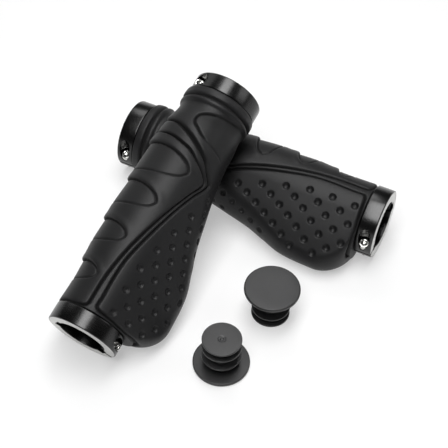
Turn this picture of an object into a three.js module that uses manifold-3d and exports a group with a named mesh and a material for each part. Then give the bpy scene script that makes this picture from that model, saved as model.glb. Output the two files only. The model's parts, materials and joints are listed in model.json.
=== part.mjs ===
// A pair of ergonomic clamp-on handlebar grips, left and right, and their two push-in bar end plugs.
// Millimetres, +Z up. The right grip lies level along X with its outboard end towards +X and its
// palm wing towards -Y. The left grip leans on it. The plugs stand beside them on the same surface.
//
// Each grip is drawn in its own frame: x runs along the bar bore from the outboard end face (0) to
// the inboard end face (GRIP_LENGTH), +y is the finger side, -y the palm side and +z the top.
import * as THREE from 'three';
import { mergeVertices } from 'three/addons/utils/BufferGeometryUtils.js';
import Module from 'manifold-3d';

const wasm = await Module();
wasm.setup();

// ---- driving dimensions ----
const CLEARANCE = 0.3;
const BAR_BORE = 22.5;
const GRIP_LENGTH = 137;

const CLAMP_DIAMETER = 34;
const CLAMP_WIDTH = 8.3;
const CLAMP_CHAMFER = 0.5;
const CLAMP_SLIT = 1.6;

const SLEEVE_WALL = 1.2;
const TAB_TOP = 0.6;
const TAB_HEIGHT = 5.6;
const TAB_SETBACK = 1.2;

const BOLT_STANDOFF = 0.35;
const BOLT_SEAT = 1.5;
const BOLT_SHANK = 3;
const BOLT_LENGTH = 9;
const BOLT_HEAD = 5.2;
const BOLT_HEAD_HEIGHT = 2.6;
const BOLT_SOCKET = 2.5;
const BOLT_SOCKET_DEPTH = 1.3;
const BOLT_CHAMFER = 0.35;
const BOLT_DROP = THREE.MathUtils.degToRad(6);

const WING_REACH = 32.8;
const WING_CORNER = 15;
const WING_RIM = 8;
const WING_DROOP = 4.5;

const PLUG_FLANGE = 26;
const PLUG_FLANGE_THICKNESS = 1.9;
const PLUG_STEM = 10.6;
const PLUG_FIN = 18;
const PLUG_FIN_EDGE = 0.9;
const PLUG_FIN_ROOT = 1.7;
const PLUG_FIN_HEIGHTS = [4.9, 11.6, 16.2];
const PLUG_GATE = 2.4;
const PLUG_GATE_DEPTH = 0.5;

// Where the pieces lie. The left grip crosses over the right one at the given distances from the
// outboard end faces; the plugs stand at the given places from the right grip's outboard end.
const LEFT_HEADING = THREE.MathUtils.degToRad(86.8);
const LEFT_CROSSING = 127.3;
const RIGHT_CROSSING = 88.9;
const LEFT_PLUG_PLACE = [-39.5, -96];
const RIGHT_PLUG_PLACE = [-31.5, -60.1];

// Outline of the rubber along its length: [share of the rubber length, height above the clamp rings].
const FINGER_PROFILE = [
  [0, 0.1], [0.1, -0.2], [0.18, 1], [0.38, 2.6], [0.62, 2.8], [0.74, 3], [0.84, 2],
  [0.9, 0.5], [0.925, 0.3], [0.95, 0.9], [1, 0.7],
];
const TOP_PROFILE = [
  [0, 0], [0.12, 0.2], [0.4, 1], [0.7, 1], [0.86, 0.2], [0.92, -0.5], [0.95, 0.2], [1, 0],
];
const UNDERSIDE_PROFILE = [
  [0, -0.2], [0.2, -0.4], [0.85, -0.4], [0.92, -0.8], [0.95, -0.2], [1, -0.2],
];
// Wing reach beyond the round body, as a share of its largest value.
const WING_PROFILE = [
  [0, 1], [0.15, 1], [0.27, 0.93], [0.36, 0.72], [0.44, 0.52], [0.54, 0.35], [0.64, 0.19],
  [0.76, 0.06], [0.86, 0.03], [1, 0.03],
];

const ROUND_SEGMENTS = 40;
const BOLT_SEGMENTS = 20;
const PLUG_SEGMENTS = 32;
const ARC_STEPS = 14;
const FLANK_STEPS = 3;
const RIM_STEPS = 7;
const LENGTH_STEPS = 26;
const SOLVER_STEPS = 16;

const boreRadius = BAR_BORE / 2;
const clampRadius = CLAMP_DIAMETER / 2;
const sleeveRadius = boreRadius + SLEEVE_WALL;
const boltOffset = sleeveRadius + BOLT_STANDOFF + BOLT_SHANK / 2;
const rubberBore = sleeveRadius + CLEARANCE;
const rubberStart = CLAMP_WIDTH + CLEARANCE;
const rubberLength = GRIP_LENGTH - 2 * rubberStart;

// ---- materials ----
function material(color, roughness, metalness) {
  return new THREE.MeshStandardMaterial({ color, roughness, metalness });
}
const rubber = () => material(0x242424, 0.85, 0);
const nylon = () => material(0x1a1a1a, 0.6, 0);
const anodised = () => material(0x141414, 0.3, 0.9);
const steel = () => material(0xc8c8c6, 0.25, 1);
const plastic = () => material(0x1c1c1c, 0.5, 0);

// ---- geometry helpers ----
function toSolid(geometry) {
  const bare = geometry.clone();
  bare.deleteAttribute('normal');
  bare.deleteAttribute('uv');
  const merged = mergeVertices(bare, 1e-4);
  const corners = merged.index.array;
  const triangles = [];
  for (let i = 0; i < corners.length; i += 3) {
    const [a, b, c] = corners.slice(i, i + 3);
    if (a !== b && b !== c && c !== a) triangles.push(a, b, c);
  }
  return new wasm.Manifold(new wasm.Mesh({
    numProp: 3,
    vertProperties: new Float32Array(merged.attributes.position.array),
    triVerts: new Uint32Array(triangles),
  }));
}

function toGeometry(solid) {
  const mesh = solid.getMesh();
  const geometry = new THREE.BufferGeometry();
  geometry.setAttribute('position', new THREE.BufferAttribute(new Float32Array(mesh.vertProperties), 3));
  geometry.setIndex(new THREE.BufferAttribute(new Uint32Array(mesh.triVerts), 1));
  geometry.computeVertexNormals();
  return geometry;
}

function box(xRange, yRange, zRange) {
  const size = [xRange, yRange, zRange].map(([low, high]) => high - low);
  const middle = [xRange, yRange, zRange].map(([low, high]) => (low + high) / 2);
  return toSolid(new THREE.BoxGeometry(...size).translate(...middle));
}

// An upright cylinder on the z axis moved to (x, y), between two heights.
function upright(radius, x, y, [low, high], segments) {
  const cylinder = new THREE.CylinderGeometry(radius, radius, high - low, segments);
  return toSolid(cylinder.rotateX(Math.PI / 2).translate(x, y, (low + high) / 2));
}

// A lathe about the x axis; the profile is a list of [radius, x].
function turnedAlongX(profile, segments) {
  const points = profile.map(([radius, x]) => new THREE.Vector2(radius, x));
  return new THREE.LatheGeometry(points, segments).rotateZ(-Math.PI / 2);
}

// A lathe about the z axis; the profile is a list of [radius, z].
function turnedAlongZ(profile, segments) {
  const points = profile.map(([radius, z]) => new THREE.Vector2(radius, z));
  return new THREE.LatheGeometry(points, segments).rotateX(Math.PI / 2);
}

// A smooth curve through a table of [position, value], read at one position.
function smooth(table, position) {
  const last = table.length - 1;
  let i = 0;
  while (i < last - 1 && position > table[i + 1][0]) i += 1;
  const slope = (k) => {
    const before = table[Math.max(k - 1, 0)];
    const after = table[Math.min(k + 1, last)];
    return (after[1] - before[1]) / (after[0] - before[0]);
  };
  const [start, from] = table[i];
  const [end, to] = table[i + 1];
  const span = end - start;
  const t = THREE.MathUtils.clamp((position - start) / span, 0, 1);
  const rise = (2 * t ** 3 - 3 * t ** 2 + 1) * from + (3 * t ** 2 - 2 * t ** 3) * to;
  const bend = (t ** 3 - 2 * t ** 2 + t) * slope(i) + (t ** 3 - t ** 2) * slope(i + 1);
  return rise + bend * span;
}

// ---- rubber grip ----
// The wing's largest reach at one distance from the outboard end of the rubber: a round corner
// first, then the tapering profile.
function wingReach(distance, round) {
  const full = (WING_REACH - round) * smooth(WING_PROFILE, distance / rubberLength);
  const inCorner = Math.max(WING_CORNER - distance, 0);
  const corner = WING_CORNER - Math.sqrt(WING_CORNER ** 2 - inCorner ** 2);
  return round + Math.max(full - corner, 0.4);
}

// One cross section, as [y, z] points: half an ellipse on the finger side, and on the palm side a
// round body joined by straight flanks to the rounded rim of the wing. The half above the bar's
// centre is stretched up to the top's height.
function sectionPoints(distance) {
  const share = distance / rubberLength;
  const finger = clampRadius + smooth(FINGER_PROFILE, share);
  const top = clampRadius + smooth(TOP_PROFILE, share);
  const round = clampRadius + smooth(UNDERSIDE_PROFILE, share);
  const reach = wingReach(distance, round);
  const taper = (reach - round) / (WING_REACH - round);
  const rim = round - (round - WING_RIM) * taper;
  const centre = new THREE.Vector2(rim - reach, -WING_DROOP * taper);
  const tilt = Math.atan2(-centre.y, -centre.x);
  const spread = Math.acos((round - rim) / centre.length());
  const onPalmArc = (angle, radius, middle) => [
    middle.x - radius * Math.cos(angle),
    middle.y + radius * Math.sin(angle),
  ];
  const axis = new THREE.Vector2(0, 0);
  const points = [];
  for (let i = 0; i < ARC_STEPS; i += 1) {
    const angle = -Math.PI / 2 + (Math.PI * i) / ARC_STEPS;
    points.push([finger * Math.cos(angle), round * Math.sin(angle)]);
  }
  const upper = spread - tilt;
  const lower = -spread - tilt;
  points.push(...arcPoints(Math.PI / 2, upper, FLANK_STEPS, (angle) => onPalmArc(angle, round, axis)));
  points.push(...linePoints(onPalmArc(upper, round, axis), onPalmArc(upper, rim, centre), FLANK_STEPS));
  points.push(...arcPoints(upper, lower, RIM_STEPS, (angle) => onPalmArc(angle, rim, centre)));
  points.push(...linePoints(onPalmArc(lower, rim, centre), onPalmArc(lower, round, axis), FLANK_STEPS));
  points.push(...arcPoints(lower, -Math.PI / 2, FLANK_STEPS, (angle) => onPalmArc(angle, round, axis)));
  return points.map(([y, z]) => [y, z > 0 ? (z * top) / round : z]);
}

function arcPoints(from, to, steps, place) {
  return Array.from({ length: steps }, (_, i) => place(from + ((to - from) * i) / steps));
}

function linePoints(from, to, steps) {
  return Array.from({ length: steps }, (_, i) => {
    const t = i / steps;
    return [from[0] + (to[0] - from[0]) * t, from[1] + (to[1] - from[1]) * t];
  });
}

// Distances from the outboard end of the rubber where a cross section is cut: close together round
// the wing's corner, even along the rest.
function stations() {
  const cornerSteps = 6;
  const corner = Array.from({ length: cornerSteps }, (_, i) => (
    WING_CORNER * (1 - Math.cos((Math.PI * i) / (2 * cornerSteps)))
  ));
  const rest = Array.from({ length: LENGTH_STEPS + 1 }, (_, i) => (
    WING_CORNER + ((rubberLength - WING_CORNER) * i) / LENGTH_STEPS
  ));
  return [...corner, ...rest];
}

// The angle about the bar of each point of a bore circle, evenly spaced on the finger side and on
// the palm side, so that a bore circle has as many points as a cross section.
function boreAngles() {
  const palmSteps = 4 * FLANK_STEPS + RIM_STEPS;
  const fingerSide = arcPoints(-Math.PI / 2, Math.PI / 2, ARC_STEPS, (angle) => angle);
  const palmSide = arcPoints(Math.PI / 2, (3 * Math.PI) / 2, palmSteps, (angle) => angle);
  return [...fingerSide, ...palmSide];
}

// A closed tube: cross sections along the outside, then round circles back along the bore.
function rubberGrip() {
  const rings = stations().map((distance) => (
    sectionPoints(distance).map(([y, z]) => [rubberStart + distance, y, z])
  ));
  const boreRing = (x) => boreAngles().map((angle) => (
    [x, rubberBore * Math.cos(angle), rubberBore * Math.sin(angle)]
  ));
  rings.push(boreRing(rubberStart + rubberLength), boreRing(rubberStart));
  const around = rings[0].length;
  const index = [];
  for (let r = 0; r < rings.length; r += 1) {
    const next = (r + 1) % rings.length;
    for (let i = 0; i < around; i += 1) {
      const j = (i + 1) % around;
      const [a, b, c, d] = [r * around + i, r * around + j, next * around + j, next * around + i];
      index.push(a, b, c, a, c, d);
    }
  }
  const geometry = new THREE.BufferGeometry();
  geometry.setAttribute('position', new THREE.Float32BufferAttribute(rings.flat(2), 3));
  geometry.setIndex(index);
  geometry.computeVertexNormals();
  return geometry;
}

// ---- core sleeve ----
// A thin tube bonded inside the rubber; two tabs at each end key into the clamps, turned with them.
function coreSleeve(inboardBoltOnFingerSide) {
  const profile = [
    [boreRadius, TAB_SETBACK], [sleeveRadius, TAB_SETBACK],
    [sleeveRadius, GRIP_LENGTH - TAB_SETBACK], [boreRadius, GRIP_LENGTH - TAB_SETBACK],
    [boreRadius, TAB_SETBACK],
  ];
  const tube = toSolid(turnedAlongX(profile, ROUND_SEGMENTS));
  const wide = [-CLAMP_DIAMETER, CLAMP_DIAMETER];
  const middle = box([rubberStart, GRIP_LENGTH - rubberStart], wide, wide);
  const tabs = (lengthwise, boltOnFingerSide) => {
    const shape = new THREE.BoxGeometry(CLAMP_WIDTH + rubberStart, CLAMP_DIAMETER, TAB_HEIGHT);
    shape.translate(0, 0, TAB_TOP - TAB_HEIGHT / 2).applyMatrix4(clampTurn(boltOnFingerSide));
    return toSolid(shape.translate(lengthwise, 0, 0));
  };
  const outboardTabs = tabs(CLAMP_WIDTH / 2, false);
  const inboardTabs = tabs(GRIP_LENGTH - CLAMP_WIDTH / 2, inboardBoltOnFingerSide);
  return toGeometry(tube.intersect(middle.add(outboardTabs).add(inboardTabs)));
}

// ---- clamp ring ----
// How a clamp is turned about the bar: its bolt sits a little below the bar's centre, on the palm
// side or on the finger side, with its head facing the top.
function clampTurn(boltOnFingerSide) {
  const facing = new THREE.Matrix4().makeRotationZ(boltOnFingerSide ? Math.PI : 0);
  const drop = new THREE.Matrix4().makeRotationX(boltOnFingerSide ? -BOLT_DROP : BOLT_DROP);
  return drop.multiply(facing);
}

// A split ring with its bolt on the palm side (-y), centred on x = 0.
function clampRing() {
  const half = CLAMP_WIDTH / 2;
  const profile = [
    [boreRadius, -half], [clampRadius - CLAMP_CHAMFER, -half], [clampRadius, CLAMP_CHAMFER - half],
    [clampRadius, half - CLAMP_CHAMFER], [clampRadius - CLAMP_CHAMFER, half], [boreRadius, half],
    [boreRadius, -half],
  ];
  const ring = toSolid(turnedAlongX(profile, ROUND_SEGMENTS));
  const across = [-CLAMP_WIDTH, CLAMP_WIDTH];
  const slitTop = TAB_TOP - CLEARANCE - CLAMP_SLIT;
  const slit = box(across, [-CLAMP_DIAMETER, -boreRadius / 2], [slitTop - CLAMP_SLIT, slitTop]);
  const notchReach = sleeveRadius + CLEARANCE;
  const notchHeights = [TAB_TOP - TAB_HEIGHT - CLEARANCE, TAB_TOP + CLEARANCE];
  const notches = box(across, [-notchReach, notchReach], notchHeights);
  const holeRadius = BOLT_SHANK / 2 + CLEARANCE;
  const hole = upright(holeRadius, 0, -boltOffset, [-clampRadius, clampRadius], BOLT_SEGMENTS);
  const pocketHeights = [BOLT_SEAT - CLEARANCE, clampRadius];
  const pocket = upright(BOLT_HEAD / 2 + CLEARANCE, 0, -boltOffset, pocketHeights, BOLT_SEGMENTS);
  return toGeometry(ring.subtract(slit).subtract(notches).subtract(hole).subtract(pocket));
}

// ---- clamp bolt ----
// A socket head cap screw standing on z, its head's underside at z = 0.
function clampBolt() {
  const shank = BOLT_SHANK / 2;
  const head = BOLT_HEAD / 2;
  const profile = [
    [0, -BOLT_LENGTH], [shank - BOLT_CHAMFER, -BOLT_LENGTH], [shank, BOLT_CHAMFER - BOLT_LENGTH],
    [shank, 0], [head, 0], [head, BOLT_HEAD_HEIGHT - BOLT_CHAMFER],
    [head - BOLT_CHAMFER, BOLT_HEAD_HEIGHT], [0, BOLT_HEAD_HEIGHT],
  ];
  const acrossCorners = BOLT_SOCKET / Math.cos(Math.PI / 6);
  const socketHeights = [BOLT_HEAD_HEIGHT - BOLT_SOCKET_DEPTH, BOLT_HEAD_HEIGHT + CLEARANCE];
  const socket = upright(acrossCorners / 2, 0, 0, socketHeights, 6);
  return toGeometry(toSolid(turnedAlongZ(profile, BOLT_SEGMENTS)).subtract(socket));
}

// ---- end plug ----
// A flanged stem with flexible fins, standing on z with the flange's underside at z = 0 and the
// fins above it.
function endPlug() {
  const rimRadius = PLUG_FLANGE / 2;
  const stem = PLUG_STEM / 2;
  const fin = PLUG_FIN / 2;
  const edge = PLUG_FLANGE_THICKNESS / 2;
  const profile = [
    [0, -PLUG_FLANGE_THICKNESS], [rimRadius - edge, -PLUG_FLANGE_THICKNESS],
    [rimRadius, -edge], [rimRadius, -edge / 2], [rimRadius - edge / 2, 0], [stem, 0],
  ];
  for (const height of PLUG_FIN_HEIGHTS) {
    profile.push([stem, height - PLUG_FIN_ROOT / 2], [fin, height - PLUG_FIN_EDGE / 2]);
    profile.push([fin, height + PLUG_FIN_EDGE / 2], [stem, height + PLUG_FIN_ROOT / 2]);
  }
  const top = profile.at(-2)[1];
  profile.splice(-1, 1, [PLUG_GATE / 2, top], [0, top - PLUG_GATE_DEPTH]);
  return toGeometry(toSolid(turnedAlongZ(profile, PLUG_SEGMENTS)));
}

// ---- assembly ----
function part(name, geometry, look) {
  const mesh = new THREE.Mesh(geometry, look);
  mesh.name = name;
  return mesh;
}

// A clamp and its bolt at one end of a grip, with the bolt on the palm or the finger side.
function clampWithBolt(side, end, boltOnFingerSide) {
  const group = new THREE.Group();
  const bolt = part(`${side}_${end}_bolt`, clampBolt(), steel());
  bolt.position.set(0, -boltOffset, BOLT_SEAT);
  group.add(part(`${side}_${end}_clamp`, clampRing(), anodised()), bolt);
  group.applyMatrix4(clampTurn(boltOnFingerSide));
  group.position.x = end === 'outboard' ? CLAMP_WIDTH / 2 : GRIP_LENGTH - CLAMP_WIDTH / 2;
  return group;
}

function grip(side, inboardBoltOnFingerSide) {
  const group = new THREE.Group();
  group.add(
    part(`${side}_rubber_grip`, rubberGrip(), rubber()),
    part(`${side}_core_sleeve`, coreSleeve(inboardBoltOnFingerSide), nylon()),
    clampWithBolt(side, 'outboard', false),
    clampWithBolt(side, 'inboard', inboardBoltOnFingerSide),
  );
  return group;
}

// The lowest point of a mesh after one more matrix on top of its place in its group.
function lowestPoint(mesh, matrix) {
  const place = matrix.clone().multiply(mesh.matrixWorld);
  const corners = mesh.geometry.attributes.position;
  const corner = new THREE.Vector3();
  let lowest = Infinity;
  for (let i = 0; i < corners.count; i += 1) {
    corner.fromBufferAttribute(corners, i).applyMatrix4(place);
    lowest = Math.min(lowest, corner.z);
  }
  return lowest;
}

function bisect(low, high, isTooHigh) {
  let [from, to] = [low, high];
  for (let i = 0; i < SOLVER_STEPS; i += 1) {
    const middle = (from + to) / 2;
    if (isTooHigh(middle)) to = middle;
    else from = middle;
  }
  return (from + to) / 2;
}

// Turns a grip about its bar axis until the rim of its wing is as low as its outboard clamp.
function settledRoll(gripGroup, side, incline) {
  gripGroup.updateMatrixWorld(true);
  const body = gripGroup.getObjectByName(`${side}_rubber_grip`);
  const clamp = gripGroup.getObjectByName(`${side}_outboard_clamp`);
  const pitch = new THREE.Matrix4().makeRotationY(-incline);
  return bisect(0, Math.PI / 3, (roll) => {
    const turned = pitch.clone().multiply(new THREE.Matrix4().makeRotationX(roll));
    return lowestPoint(body, turned) < lowestPoint(clamp, turned);
  });
}

// The left grip's place for one incline of its axis: settled roll, outboard clamp on the surface,
// and its axis above the right grip's axis at the crossing.
function leftPlacement(left, incline) {
  const roll = settledRoll(left, 'left', incline);
  const pitch = new THREE.Matrix4().makeRotationY(-incline);
  const turned = pitch.multiply(new THREE.Matrix4().makeRotationX(roll));
  const height = -lowestPoint(left.getObjectByName('left_outboard_clamp'), turned);
  const run = LEFT_CROSSING * Math.cos(incline);
  const x = -RIGHT_CROSSING - run * Math.cos(LEFT_HEADING);
  const y = -run * Math.sin(LEFT_HEADING);
  return new THREE.Matrix4().makeTranslation(x, y, height)
    .multiply(new THREE.Matrix4().makeRotationZ(LEFT_HEADING)).multiply(turned);
}

function placedSolid(mesh, matrix) {
  return toSolid(mesh.geometry.clone().applyMatrix4(matrix));
}

// The smallest incline at which the left grip clears the right grip's body by the clearance.
function settledIncline(left, rightBody) {
  const raised = new THREE.Matrix4().makeTranslation(0, 0, CLEARANCE).multiply(rightBody.matrixWorld);
  const support = placedSolid(rightBody, raised);
  const leaning = ['left_rubber_grip', 'left_inboard_clamp'].map((name) => left.getObjectByName(name));
  return bisect(0, Math.PI / 4, (incline) => {
    const placement = leftPlacement(left, incline);
    return leaning.every((mesh) => (
      support.intersect(placedSolid(mesh, placement.clone().multiply(mesh.matrixWorld))).isEmpty()
    ));
  });
}

function standingPlug(side, [x, y], flangeDown) {
  const plug = part(`${side}_end_plug`, endPlug(), plastic());
  const top = PLUG_FIN_HEIGHTS.at(-1) + PLUG_FIN_EDGE / 2;
  plug.rotation.x = flangeDown ? 0 : Math.PI;
  plug.position.set(x, y, flangeDown ? PLUG_FLANGE_THICKNESS : top);
  return plug;
}

function pair() {
  const right = new THREE.Group();
  const rightGrip = grip('right', false);
  rightGrip.scale.x = -1;
  right.add(rightGrip);
  right.rotation.x = settledRoll(rightGrip, 'right', 0);
  right.position.z = clampRadius;
  right.updateMatrixWorld(true);

  const left = grip('left', true);
  left.updateMatrixWorld(true);
  const rightBody = rightGrip.getObjectByName('right_rubber_grip');
  const placement = leftPlacement(left, settledIncline(left, rightBody));
  left.applyMatrix4(placement);

  const all = new THREE.Group();
  all.add(right, left);
  all.add(standingPlug('left', LEFT_PLUG_PLACE, true), standingPlug('right', RIGHT_PLUG_PLACE, false));

  all.updateMatrixWorld(true);
  const bounds = new THREE.Box3().setFromObject(all, true);
  const middle = bounds.getCenter(new THREE.Vector3());
  all.position.set(-middle.x, -middle.y, -bounds.min.z);
  return all;
}

export default pair();
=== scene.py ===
import json
import math

import bpy
import numpy as np
from mathutils import Matrix, Vector


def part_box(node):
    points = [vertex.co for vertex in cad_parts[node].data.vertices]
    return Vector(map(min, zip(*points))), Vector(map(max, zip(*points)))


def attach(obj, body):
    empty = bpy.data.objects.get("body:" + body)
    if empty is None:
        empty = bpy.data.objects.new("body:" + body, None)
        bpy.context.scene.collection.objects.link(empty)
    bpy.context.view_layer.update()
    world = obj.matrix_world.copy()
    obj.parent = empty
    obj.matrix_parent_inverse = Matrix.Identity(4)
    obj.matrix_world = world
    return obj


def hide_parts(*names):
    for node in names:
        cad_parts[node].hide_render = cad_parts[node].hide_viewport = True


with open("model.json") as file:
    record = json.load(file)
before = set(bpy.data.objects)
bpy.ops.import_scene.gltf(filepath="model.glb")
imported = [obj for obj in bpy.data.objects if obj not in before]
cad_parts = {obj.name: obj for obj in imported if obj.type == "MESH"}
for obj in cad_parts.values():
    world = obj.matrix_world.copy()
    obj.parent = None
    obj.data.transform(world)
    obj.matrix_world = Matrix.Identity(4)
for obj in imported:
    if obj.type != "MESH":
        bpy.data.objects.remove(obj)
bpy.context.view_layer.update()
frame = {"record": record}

bl_info = {
    "name": "Clamp-on grip set",
    "version": (1, 0, 0),
    "blender": (4, 5, 0),
    "location": "3D View > Sidebar > Grips",
    "description": "Builds a pair of handlebar grips with their clamps, bolts and end plugs",
    "category": "Object",
}

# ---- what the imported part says, in millimetres ----
MM = 0.001
# Millimetres to one unit of a piece's own chart.
CHART_UNIT = 100
SIDES = ("right", "left")
CLAMPS = [(side, end) for side in SIDES for end in ("outboard", "inboard")]
JOINTS = {joint["name"]: joint for joint in frame["record"]["behaviour"]["joints"]}


def box_mm(node):
    """A node's lowest and highest corner at rest, in millimetres."""
    low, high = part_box(node)
    return np.array(low) / MM, np.array(high) / MM


RIGHT_CLAMP = box_mm("right_outboard_clamp")
RIGHT_FAR_CLAMP = box_mm("right_inboard_clamp")
RIGHT_RUBBER = box_mm("right_rubber_grip")
CLAMP_WIDTH = float(RIGHT_CLAMP[1][0] - RIGHT_CLAMP[0][0])
GRIP_LENGTH = float(RIGHT_CLAMP[1][0] - RIGHT_FAR_CLAMP[0][0])
RUBBER_START = float(RIGHT_CLAMP[1][0] - RIGHT_RUBBER[1][0])
RUBBER_LENGTH = float(RIGHT_RUBBER[1][0] - RIGHT_RUBBER[0][0])

# ---- sizes of the part that its boxes don't give ----
CLAMP_RADIUS = 17.0
BORE_RADIUS = 11.25
SLEEVE_RADIUS = 12.45
CLEARANCE = 0.3
BOLT_OFFSET = 14.3
BOLT_SEAT = 1.5
BOLT_DROP = math.radians(6)
SLIT_TOP = -1.3
SLIT_GAP = 1.6
TAB_LOW, TAB_HIGH = -5.0, 0.6
TAB_SETBACK = 1.2
WING_REACH = 32.8
WING_CORNER = 15.0
WING_RIM = 8.0
WING_DROOP = 4.5

# Outline of the rubber: [share of its length, height above the clamp rings].
FINGER_PROFILE = [
    [0, 0.1], [0.1, -0.2], [0.18, 1], [0.38, 2.6], [0.62, 2.8], [0.74, 3], [0.84, 2],
    [0.9, 0.5], [0.925, 0.3], [0.95, 0.9], [1, 0.7],
]
TOP_PROFILE = [
    [0, 0], [0.12, 0.2], [0.4, 1], [0.7, 1], [0.86, 0.2], [0.92, -0.5], [0.95, 0.2], [1, 0],
]
UNDERSIDE_PROFILE = [
    [0, -0.2], [0.2, -0.4], [0.85, -0.4], [0.92, -0.8], [0.95, -0.2], [1, -0.2],
]
WING_PROFILE = [
    [0, 1], [0.15, 1], [0.27, 0.93], [0.36, 0.72], [0.44, 0.52], [0.54, 0.35], [0.64, 0.19],
    [0.76, 0.06], [0.86, 0.03], [1, 0.03],
]

# Seam lines of the rubber: [distance along the bar, distance from its middle towards the fingers].
FINGER_LINE = [
    [11.2, 6.0], [12, 5.9], [24, 5.8], [38, 4.0], [53.5, 0.2], [66, -3.8], [78, -8.2],
    [86, -11.2],
]
WING_LINE = [
    [11.6, 1.9], [16, 1.9], [27, 2.2], [37, 1.5], [52.5, -2.1], [67, -6.2], [78, -10], [87, -13.6],
]
# The wing panel's edge beside the clamp: [distance along the bar, degrees about it].
CLAMP_STRIP = [[9.1, 188], [9.2, 165], [9.4, 140], [9.8, 118], [10.1, 101]]
# Where both lines turn back to the finger side: [distance along the bar, degrees about it].
FINGER_END = [[88.7, 121], [90.6, 111], [92.8, 98], [95.8, 81], [97.4, 63], [99.3, 40], [100.4, 5]]
BAND_END = [
    [88.6, 134], [91.6, 123], [94.9, 112], [97.8, 97], [101.1, 78], [103.7, 61], [106.9, 36],
    [108.4, 5],
]
# Finger pads: [outboard edge, inboard edge, tip along the bar, degrees about it].
FINGER_PADS = [
    [78.4, 94.3, 85.4, 97], [60.1, 73.4, 65.4, 79], [40.1, 51.5, 45, 65.5], [20.4, 29.9, 24.6, 56],
]
THUMB_LOWER = [[107.3, 73], [105.0, 84], [102.9, 102], [101.5, 124], [100.6, 150]]
THUMB_TIP = [[108.7, 66], [111.3, 62.5], [113.8, 64.5]]
THUMB_UPPER = [[115.6, 72], [117.0, 85], [118.4, 108], [119.4, 130], [119.8, 150]]
COLLAR_STEP = 121.8


# ---- settings ----
def linear(code):
    """An sRGB hex colour as linear red, green and blue."""
    parts = [int(code[i:i + 2], 16) / 255 for i in (1, 3, 5)]
    return tuple(c / 12.92 if c <= 0.04045 else ((c + 0.055) / 1.055) ** 2.4 for c in parts)


def length_setting(name, millimetres, description):
    return bpy.props.FloatProperty(
        name=name, default=millimetres * MM, unit="LENGTH", precision=5, description=description)


def power_setting(name, watts, description):
    return bpy.props.FloatProperty(
        name=name, default=watts, subtype="POWER", description=description)


def colour_setting(name, code, description):
    return bpy.props.FloatVectorProperty(
        name=name, default=linear(code), subtype="COLOR", min=0, max=1, description=description)


class GripReliefSettings(bpy.types.PropertyGroup):
    """Sizes of what is moulded into the rubber."""

    groove_width: length_setting("Groove width", 0.95, "Width of the seam grooves")
    groove_depth: length_setting("Groove depth", 1.25, "Depth of the seam grooves")
    band_depth: length_setting("Band depth", 0.35, "How far the band lies below the panels")
    pad_depth: length_setting("Pad depth", 1.0, "Depth of a finger pad at its inboard edge")
    thumb_depth: length_setting(
        "Thumb pad depth", 0.9, "Depth of the thumb pad at its inboard edge")
    dimple_width: length_setting("Dimple width", 3.4, "Diameter of a wing dimple")
    dimple_depth: length_setting("Dimple depth", 1.15, "Depth of a wing dimple")
    dot_spacing: length_setting("Dot spacing", 11.4, "Distance between dimples in a row")
    row_spacing: length_setting("Row spacing", 4.7, "Distance between rows of dimples")
    first_row: length_setting("First row", 7.4, "Distance from the wing line to the first row")
    first_dot: length_setting(
        "First dot", 13.3, "Distance from the grip's end to the first dimple")
    edge_room: length_setting("Edge room", 3.5, "Least distance from a dimple to the wing's edge")


class FinishSettings(bpy.types.PropertyGroup):
    """Colours of the finishes."""

    rubber: colour_setting("Rubber", "#0a0a0b", "Colour of the moulded rubber")
    # Lighter end of the rubber's colour: a random mottle, plus painted sheen on raised parts,
    # which leaves painted shade in recesses.
    rubber_light_tone_and_sheen: colour_setting("Rubber edges", "#141415", "Rubber along raised edges")
    # Painted shade down in the seam grooves, the pad outlines and the collar groove.
    rubber_groove_shade: colour_setting("Rubber seams", "#020202", "Rubber down in the seam grooves")
    anodised: colour_setting("Anodised rings", "#373737", "Colour of the clamp rings")
    turned_face: colour_setting("Ring end faces", "#c6c6c4", "Colour of the turned end faces")
    zinc: colour_setting("Bolts", "#d8d8d4", "Colour of the zinc plated bolts")
    plug: colour_setting("End plugs", "#1b1b1c", "Colour of the plug plastic")
    nylon: colour_setting("Core sleeves", "#080808", "Colour of the nylon sleeves")


class StudioSettings(bpy.types.PropertyGroup):
    """Light and floor."""

    floor: colour_setting("Floor", "#f4f4f4", "Colour of the floor")
    overhead_power: power_setting("Overhead light", 6.4, "Power of the overhead softbox")
    back_power: power_setting("Back light", 1.6, "Power of the softbox behind")
    left_power: power_setting("Left light", 0.8, "Power of the left softbox")
    right_power: power_setting("Right light", 1.6, "Power of the right softbox")
    backlight: bpy.props.FloatProperty(
        name="Backlight", default=1.05, min=0,
        description="Brightness of the light behind the paper")
    sky_strength: bpy.props.FloatProperty(
        name="Sky", default=0.8, min=0, description="Brightness of the surroundings")


# ---- curves and charts ----
def hermite(t, start, leave, end, arrive):
    """A cubic from start to end that has the slopes leave and arrive there."""
    return ((2 * t**3 - 3 * t**2 + 1) * start + (t**3 - 2 * t**2 + t) * leave
            + (3 * t**2 - 2 * t**3) * end + (t**3 - t**2) * arrive)


def curve_through(table, position):
    """A smooth curve through a table of [position, value], read at many positions."""
    xs, ys = np.array(table, float).T
    slopes = np.gradient(ys, xs)
    slopes[1:-1] = (ys[2:] - ys[:-2]) / (xs[2:] - xs[:-2])
    position = np.asarray(position, float)
    k = np.clip(np.searchsorted(xs, position, side="right") - 1, 0, len(xs) - 2)
    span = xs[k + 1] - xs[k]
    t = np.clip((position - xs[k]) / span, 0, 1)
    return hermite(t, ys[k], slopes[k] * span, ys[k + 1], slopes[k + 1] * span)


def ease(t):
    """0 below 0, 1 above 1, and a soft step between."""
    t = np.clip(t, 0, 1)
    return t * t * (3 - 2 * t)


# Points along a section's parts: finger side, each palm side and the wing's rim.
FINGER_STEPS, PALM_STEPS, RIM_STEPS = 300, 90, 160
LEAST_WING = 0.4


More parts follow.
